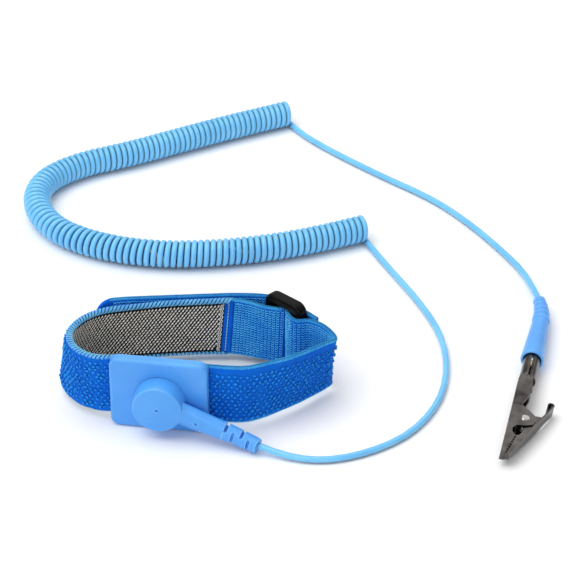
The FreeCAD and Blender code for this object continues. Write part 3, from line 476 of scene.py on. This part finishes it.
class Band:
    """A ruled strip between a low and a high line; off is the distance outwards from it."""

    def __init__(self, low, high, hand, body):
        ends = []
        for points, z in ((low, STRAP_LOW), (high, STRAP_HIGH)):
            line = Line(smooth_line([V(x, y) for x, y in points]))
            places = [line.read(line.length * i / STATIONS)[0] for i in range(STATIONS + 1)]
            ends.append(np.array([(*place.xy, z) for place in places]))
        self.low, self.high = ends
        steps = np.diff((self.low + self.high) / 2, axis=0)
        self.length = float(np.linalg.norm(steps, axis=1).sum())
        self.hand, self.height, self.body = hand, STRAP_HIGH - STRAP_LOW, body

    def frames(self, s, v):
        """Points, headings, upward and outward directions at distances s and heights' shares v."""
        place = np.clip(np.asarray(s, float) / self.length, 0, 1) * STATIONS
        i = np.minimum(place.astype(int), STATIONS - 1)
        f, v = (place - i)[:, None], np.asarray(v, float)[:, None]
        low = self.low[i] + (self.low[i + 1] - self.low[i]) * f
        high = self.high[i] + (self.high[i + 1] - self.high[i]) * f
        before, after = np.maximum(i - 2, 0), np.minimum(i + 3, STATIONS)
        way = ((self.low[after] - self.low[before]) * (1 - v)
               + (self.high[after] - self.high[before]) * v)
        way /= np.linalg.norm(way, axis=1)[:, None]
        rise = high - low
        rise /= np.linalg.norm(rise, axis=1)[:, None]
        out = np.cross(rise, way) * self.hand
        out /= np.linalg.norm(out, axis=1)[:, None]
        return low * (1 - v) + high * v, way, rise, out

    def at_x(self, x, after):
        """The distance at which the band first passes x (millimetres), after that share of it."""
        line = (self.low + self.high) / 2
        first = int(after * STATIONS)
        side = line[first:, 0] > x * MM
        return (first + int(np.argmax(side != side[0]))) / STATIONS * self.length

    def farthest_x(self):
        """The distance along the band at which it lies farthest to the right."""
        return int(np.argmax((self.low + self.high)[:, 0])) / STATIONS * self.length


def piece(name, verts, faces, material, body):
    """A mesh object that rides on a body."""
    mesh = bpy.data.meshes.new(name)
    mesh.from_pydata(np.asarray(verts).tolist(), [], faces)
    mesh.polygons.foreach_set("use_smooth", [True] * len(mesh.polygons))
    mesh.materials.append(material)
    mesh.update()
    obj = bpy.data.objects.new(name, mesh)
    bpy.context.collection.objects.link(obj)
    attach(obj, body)
    return obj


def rounded_rim(v0, v1, off0, off1, height):
    """The cross-section of a band, as (share of height, off) pairs round its outline."""
    middle, half = (off0 + off1) / 2, (off1 - off0) / 2
    inset = abs(half) / height
    ring = []
    for i in range(STRIP_ROWS + 1):
        ring.append((v0 + inset + (v1 - v0 - 2 * inset) * i / STRIP_ROWS, off1))
    for i in range(1, 4):
        angle = math.pi * i / 4
        ring.append((v1 - inset + inset * math.sin(angle), middle + half * math.cos(angle)))
    for i in range(STRIP_ROWS + 1):
        ring.append((v1 - inset - (v1 - v0 - 2 * inset) * i / STRIP_ROWS, off0))
    for i in range(1, 4):
        angle = math.pi * i / 4
        ring.append((v0 + inset - inset * math.sin(angle), middle - half * math.cos(angle)))
    return ring


def strip(name, band, s0, s1, off0, off1, material, v0=0.0, v1=1.0, corner=0.0):
    """A closed band of cloth with rounded edges, and rounded corners at its far end if asked."""
    count = max(2, int((s1 - s0) / STRIP_STEP))
    verts, faces = [], []
    ring = rounded_rim(v0, v1, off0, off1, band.height)
    size = len(ring)
    offs = np.array([off for v, off in ring])
    for i in range(count + 1):
        s = s0 + (s1 - s0) * i / count
        squeeze = 0.0
        if corner and s > s1 - corner:
            drop = math.sqrt(max(corner ** 2 - (s - s1 + corner) ** 2, 0))
            squeeze = (corner - drop) / band.height
        shares = [v0 + squeeze + (v - v0) * (v1 - v0 - 2 * squeeze) / (v1 - v0) for v, off in ring]
        at, _, _, out = band.frames([s] * size, shares)
        verts.extend(at + out * offs[:, None])
    for i in range(count):
        for j in range(size):
            k = (j + 1) % size
            faces.append((i * size + j, i * size + k, (i + 1) * size + k, (i + 1) * size + j))
    faces.append(tuple(range(size - 1, -1, -1)))
    faces.append(tuple(count * size + j for j in range(size)))
    return piece(name, verts, faces, material, band.body)


def thread(path, wide, thick, sides=5):
    """A short length of yarn along a path, closed at both ends. All sizes are in millimetres."""
    path = [V(*p) for p in path]
    wide, thick = wide * MM, thick * MM
    verts, faces = [], []
    for i, at in enumerate(path):
        way = (path[min(i + 1, len(path) - 1)] - path[max(i - 1, 0)]).normalized()
        side = way.cross(Vector((0, 0, 1)))
        side = side.normalized() if side.length > 0.2 else Vector((0, 1, 0))
        lift = side.cross(way)
        full = 0.55 if i in (0, len(path) - 1) else 1.0
        for j in range(sides):
            angle = 2 * math.pi * j / sides
            verts.append(at + side * (math.cos(angle) * wide * full)
                         + lift * (math.sin(angle) * thick * full))
    for i in range(len(path) - 1):
        for j in range(sides):
            k = (j + 1) % sides
            faces.append((i * sides + j, i * sides + k, (i + 1) * sides + k, (i + 1) * sides + j))
    last = (len(path) - 1) * sides
    faces += [tuple(range(sides - 1, -1, -1)), tuple(last + j for j in range(sides))]
    return np.array([tuple(v) for v in verts]), faces


def mirrored(shape, axis=2):
    """The thread turned over across an axis."""
    verts, faces = shape
    verts[:, axis] *= -1
    return verts, [face[::-1] for face in faces]


def scatter(name, band, shape, places, material):
    """Copies of a thread on a band, each at (distance, share of height, off, turn, size)."""
    verts, faces = shape
    places = np.array(places, float)
    at, way, rise, out = band.frames(places[:, 0], places[:, 1])
    turn = np.radians(places[:, 3])[:, None]
    cos, sin = np.cos(turn), np.sin(turn)
    along, across = way * cos + rise * sin, rise * cos - way * sin
    size = places[:, 4][:, None, None]
    all_verts = (at + out * places[:, 2][:, None])[:, None] + size * (
        verts[None, :, 0, None] * along[:, None] + verts[None, :, 1, None] * across[:, None]
        + verts[None, :, 2, None] * out[:, None])
    count = len(verts)
    all_faces = [tuple(j + n * count for j in face) for n in range(len(places)) for face in faces]
    return piece(name, all_verts.reshape(-1, 3), all_faces, material, band.body)


def grid(s0, s1, v0, v1, step_s, step_v, height, shift=0.5):
    """Staggered places over a band: (distance, share of height, row)."""
    places = []
    columns, rows = int((s1 - s0) / step_s), int((v1 - v0) * height / step_v)
    for i in range(columns):
        for j in range(rows):
            s = s0 + (i + 0.5 + shift * (j % 2)) * (s1 - s0) / columns
            if s < s1:
                places.append((s, v0 + (j + 0.5) * (v1 - v0) / rows, j))
    return places


def everywhere(s, v):
    return True


def pile(name, band, s0, s1, off, material, v0=0.07, v1=0.93, keep=everywhere):
    """Loop pile: tufts of three small loops that stand out of the cloth."""
    arch = [(-0.3, 0, -0.12), (-0.3, 0, 0.13), (-0.14, 0, 0.36), (0.1, 0.02, 0.38),
            (0.27, 0.03, 0.16), (0.29, 0.03, -0.12)]
    shape = thread(arch, 0.16, 0.16)
    places = []
    for s, v, _ in grid(s0, s1, v0, v1, PILE_STEP, PILE_ROW, band.height):
        if not keep(s, v):
            continue
        s, v = s + DICE.gauss(0, 0.16) * MM, v + DICE.gauss(0, 0.008)
        tall = DICE.uniform(0.75, 1.25)
        for n in range(3):
            places.append((s + DICE.uniform(-0.12, 0.12) * MM, v + DICE.gauss(0, 0.005),
                           off + DICE.uniform(-0.05, 0.03) * MM, n * 60 + DICE.uniform(-25, 25),
                           tall * DICE.uniform(0.9, 1.1)))
    return scatter(name, band, shape, places, material)


def knit(name, band, s0, s1, off, material, keep=everywhere):
    """Columns of V-shaped stitches on the skin side of the cloth."""
    path = [(-0.4, -0.03, 0.0), (-0.2, 0.02, 0.12), (0.1, 0.03, 0.14), (0.38, -0.02, 0.0)]
    shape = mirrored(thread(path, 0.145, 0.12))
    places = []
    for s, v, _ in grid(s0, s1, 0.05, 0.95, KNIT_STEP, KNIT_ROW, band.height, 0.0):
        if not keep(s, v):
            continue
        for lean in (-1, 1):
            places.append((s + lean * 0.2 * MM, v + DICE.gauss(0, 0.002),
                           off - DICE.uniform(-0.03, 0.03) * MM,
                           90 - lean * (KNIT_LEAN + DICE.gauss(0, 7)), DICE.uniform(0.85, 1.1)))
    return scatter(name, band, shape, places, material)


def twill(name, band, s0, s1, off, material):
    """Cream floats that climb to the right over a dark weave."""
    path = [(-0.45, 0, -0.06), (-0.28, 0, 0.13), (0.0, 0, 0.2), (0.28, 0, 0.13), (0.45, 0, -0.06)]
    shape = mirrored(thread(path, 0.235, 0.11, 6))
    places = []
    v0, v1 = TWILL_SPAN
    rows = int((v1 - v0) * band.height / TWILL_ROW)
    margin = 0.3 * MM
    for j in range(rows):
        shift = (0.5 + TWILL_SHIFT * j) * TWILL_STEP
        v = v0 + (j + 0.5) * (v1 - v0) / rows
        for i in range(-rows, int((s1 - s0) / TWILL_STEP)):
            s = s0 + shift + i * TWILL_STEP
            if s0 + margin < s < s1 - margin:
                places.append((s + DICE.gauss(0, 0.03) * MM, v, off, TWILL_ANGLE + DICE.gauss(0, 4),
                               DICE.uniform(0.9, 1.05)))
    return scatter(name, band, shape, places, material)


def overlock(name, band, s0, s1, material, top=True):
    """Slanting wraps of three threads over one edge of the lining."""
    path = [(-0.7, -1.0, -0.05), (-0.5, -0.7, -0.2), (-0.2, -0.4, -0.22), (0.0, 0.0, -0.15),
            (0.2, 0.16, 0.25), (0.45, 0.16, 0.8), (0.7, 0.0, 1.35), (0.75, -0.3, 1.66)]
    shape = thread(path, 0.14, 0.12)
    if not top:
        shape = mirrored(shape, 1)
    share = 0.995 if top else 0.005
    places, s = [], s0
    while s < s1:
        for n in range(3):
            places.append((s + n * WRAP_THREAD, share, LINING_IN, DICE.gauss(0, 2),
                           DICE.uniform(0.96, 1.04)))
        s += WRAP_STEP
    return scatter(name, band, shape, places, material)


def selvedge(name, band, s0, s1, off0, off1, material, share, keep=everywhere):
    """A close row of light yarn wrapped across the strap's top or bottom edge."""
    middle, half = (off0 + off1) / 2 / MM, abs(off1 - off0) / 2 / MM
    up = 1 if share > 0.5 else -1
    path = []
    for i in range(7):
        angle = math.radians(-125 + 250 * i / 6)
        path.append((0.12 * (i - 3) / 3, up * (math.cos(angle) * (half + 0.03) - half * 0.9),
                     middle + math.sin(angle) * (half + 0.03)))
    shape = thread(path, 0.16, 0.11)
    places, s = [], s0
    while s < s1:
        if keep(s, share):
            places.append((s, share, 0.0, DICE.gauss(0, 2), DICE.uniform(0.97, 1.04)))
        s += EDGE_STEP
    return scatter(name, band, shape, places, material)


def seam(name, band, columns, off, material, v0=0.06, v1=0.94, pitch=1.0, length=0.7, lean=0):
    """Lines of stitches across the skin side of the strap, one at each distance in columns."""
    half = length / 2
    path = [(-half, 0, -0.1), (-half * 0.8, 0, 0.1), (0, 0, 0.17), (half * 0.8, 0, 0.1),
            (half, 0, -0.1)]
    shape = mirrored(thread(path, 0.15, 0.13, 6))
    count = int((v1 - v0) * band.height / (pitch * MM))
    places = [(s, v0 + (i + 0.5) * (v1 - v0) / count, off,
               90 + lean * (-1) ** i + DICE.gauss(0, 3), 1.0)
              for s in columns for i in range(count)]
    return scatter(name, band, shape, places, material)


def make_strap(band, lining_end, materials):
    """The deep blue strap: its ground, pile, knit back, light edges and seam."""
    strap = strip("strap", band, 0, band.length, STRAP_IN, STRAP_OUT, materials["ground"])
    pieces = [
        pile("strap_pile", band, 12 * MM, band.length - 8 * MM, STRAP_OUT, materials["pile"]),
        knit("strap_knit", band, lining_end + 3.3 * MM, band.length - 7 * MM, STRAP_IN,
             materials["knit"])]
    for edge, share in EDGES:
        pieces.append(selvedge("strap_edge_" + edge, band, 0, band.length, STRAP_IN, STRAP_OUT,
                               materials["selvedge"], share, lambda s, v: s > lining_end))
    pieces.append(seam("strap_seam", band, [lining_end + 1.5 * MM], HEM_IN, materials["stitch"]))
    finish_cloth("main_strap")


def make_lining(band, lining_end, materials):
    """The grey twill inside the strap, its seam and hem, and the wraps over its two edges."""
    start, wrap_end = 2 * MM, lining_end + 1.5 * MM
    lining = strip("lining", band, start, lining_end, LINING_IN, STRAP_IN - 0.02 * MM,
                   materials["lining"], 0.02, 0.98)
    pieces = [
        twill("lining_floats", band, 3 * MM, lining_end - 0.9 * MM, LINING_IN, materials["float"]),
        seam("lining_seam", band, [lining_end - 0.9 * MM, lining_end - 0.35 * MM], LINING_IN,
             materials["float"], 0.07, 0.93, 0.72, 0.8, 35),
        strip("lining_hem", band, lining_end - 0.1 * MM, lining_end + 3.0 * MM, HEM_IN,
              STRAP_IN + 0.1 * MM, materials["ground"], 0.03, 0.97),
        overlock("lining_overlock_high", band, start, wrap_end, materials["overlock"]),
        overlock("lining_overlock_low", band, start, wrap_end, materials["overlock"], False)]
    finish_cloth("conductive_lining")


def make_right_strap(materials):
    """The shorter strap, with a bare line of cloth along its crease."""
    band = Band(RIGHT_LOW, RIGHT_HIGH, -1, "wristband")
    crease = band.farthest_x()
    cloth = strip("right_strap_cloth", band, 0, band.length, -CLOTH_HALF, CLOTH_HALF,
                  materials["ground"])
    pieces = [
        pile("right_strap_pile", band, 12 * MM, band.length - 19 * MM, CLOTH_HALF,
             materials["pile"], 0.05, 0.86, lambda s, v: abs(s - crease) > CREASE_CLEAR),
        knit("right_strap_knit", band, 14 * MM, band.length - 12 * MM, -CLOTH_HALF,
             materials["knit"]),
        seam("right_strap_seam", band, [band.at_x(SEAM_X, FAR_SHARE)], -CLOTH_HALF, materials["stitch"],
             0.76, 0.98, 0.9, 0.6)]
    for edge, share in EDGES:
        pieces.append(selvedge("right_strap_edge_" + edge, band, 2 * MM, band.length, -CLOTH_HALF,
                               CLOTH_HALF, materials["selvedge"], share))
    finish_cloth("right_strap")


def make_tail(materials):
    """The strap's free end with its rounded corners, and the hook tape on its back."""
    band = Band(TAIL, TAIL, -1, "tail")
    cloth = strip("tail_cloth", band, 0, band.length, -CLOTH_HALF, CLOTH_HALF, materials["ground"],
                  corner=TAIL_CORNER)

    def off_corners(s, v):
        return s < band.length - 6 * MM or abs(v - 0.5) < 0.28

    stop = band.length - 1.2 * MM
    pieces = [
        pile("tail_pile", band, 1.5 * MM, stop, CLOTH_HALF, materials["pile"], keep=off_corners),
        knit("tail_knit", band, 1 * MM, stop, -CLOTH_HALF, materials["knit"], off_corners)]
    for edge, share in EDGES:
        pieces.append(selvedge("tail_edge_" + edge, band, 0.5 * MM, band.length - TAIL_CORNER,
                               -CLOTH_HALF, CLOTH_HALF, materials["selvedge"], share))
    finish_cloth("strap_tail")

    start, stop = band.length - 11.6 * MM, band.length - 1.4 * MM
    low, high = HOOK_FACES
    hook = strip("hook_tape_cloth", band, start, stop, low, high, materials["hook"], 0.1, 0.9)
    barbs = hooks("hook_barbs", band, start, stop, low, materials["hook"])
    finish_cloth("hook_patch")


def make_fabric(materials):
    """The straps, the lining, the tail and the hook tape."""
    band = Band(BAND_LOW, BAND_HIGH, 1, "wristband")
    lining_end = band.at_x(LINING_END, FAR_SHARE)
    make_strap(band, lining_end, materials)
    make_lining(band, lining_end, materials)
    make_right_strap(materials)
    make_tail(materials)


def hooks(name, band, s0, s1, off, material):
    """Rows of small nylon hooks."""
    path = [(0, 0, 0.1), (0, 0, -0.35), (0.12, 0, -0.55), (0.3, 0, -0.5), (0.36, 0, -0.34)]
    shape = thread(path, 0.09, 0.09, 4)
    spots = grid(s0 + 0.5 * MM, s1 - 0.5 * MM, 0.13, 0.87, HOOK_STEP, HOOK_ROW, band.height)
    places = [(s, v, off, 180 * (row % 2), DICE.uniform(0.9, 1.05)) for s, v, row in spots]
    return scatter(name, band, shape, places, material)


def finish_cloth(node):
    """Hides the node that this cloth and its pieces stand in for."""
    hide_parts(node)


# ---- rigid nodes with softened edges -----------------------------------------------------------
SOFTENED = (
    ("cover_plate", "wristband", "head_plastic", 0.35 * MM, 32, 3),
    ("snap_head", "cord_set", "head_plastic", 0.28 * MM, 32, 3),
    ("cord_boot", "cord_set", "head_plastic", 0.22 * MM, 32, 3),
    ("plug_sleeve", "cord_set", "head_plastic", 0.1 * MM, 32, 3),
    ("buckle", "wristband", "buckle_plastic", 0.3 * MM, 32, 3),
    ("clip_fixed_jaw", "clip", "clip_steel", 0.1 * MM, 40, 2),
    ("clip_moving_jaw", "moving_jaw", "clip_steel", 0.1 * MM, 40, 2))


def soften(node, body, material, width, angle, segments):
    """A copy of a node whose sharp edges are rounded."""
    source = NODES[node]
    mesh = source.data.copy()
    mesh.transform(source.matrix_world)
    build = bmesh.new()
    build.from_mesh(mesh)
    bmesh.ops.remove_doubles(build, verts=build.verts, dist=2e-6)
    bmesh.ops.dissolve_limit(build, angle_limit=math.radians(0.6), verts=build.verts,
                             edges=build.edges)
    build.to_mesh(mesh)
    build.free()
    copy = bpy.data.objects.new(node + "_soft", mesh)
    bpy.context.collection.objects.link(copy)
    bevel = copy.modifiers.new("bevel", "BEVEL")
    bevel.width, bevel.segments, bevel.limit_method = width, segments, "ANGLE"
    bevel.angle_limit = math.radians(angle)
    copy.data.polygons.foreach_set("use_smooth", [True] * len(copy.data.polygons))
    weigh = copy.modifiers.new("weigh", "WEIGHTED_NORMAL")
    weigh.weight, weigh.keep_sharp = 100, True
    graph = bpy.context.evaluated_depsgraph_get()
    made = bpy.data.meshes.new_from_object(copy.evaluated_get(graph), preserve_all_data_layers=True,
                                           depsgraph=graph)
    copy.modifiers.clear()
    copy.data = made
    made.materials.clear()
    made.materials.append(material)
    made.polygons.foreach_set("material_index", [0] * len(made.polygons))
    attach(copy, body)
    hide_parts(node)
    return copy


# ---- CAD nodes that keep their shape -----------------------------------------------------------
FINISHES = {
    "cover_plate": "head", "snap_head": "head", "cord_boot": "head", "plug_sleeve": "sleeve",
    "buckle": "buckle", "snap_stud": "steel", "rivet_cap": "steel", "contact_plate": "steel",
    "snap_ring": "steel", "snap_socket": "steel", "resistor": "brass", "resistor_legs": "steel",
    "wire_ferrule": "steel", "banana_pin": "brass", "banana_spring": "steel",
    "clip_fixed_jaw": "clip", "clip_moving_jaw": "clip", "pivot_pin": "spring",
    "jaw_spring": "spring"}


def finish_nodes(materials):
    for node, finish in FINISHES.items():
        for place in NODES[node].material_slots:
            place.material = materials[finish]


def main():
    make_camera()
    make_stage()
    materials = make_materials()
    make_fabric(materials)
    for node, body, slot, width, angle, segments in SOFTENED:
        soften(node, body, materials[FINISHES[node]], width, angle, segments)
    make_cord(materials)
    finish_nodes(materials)


main()
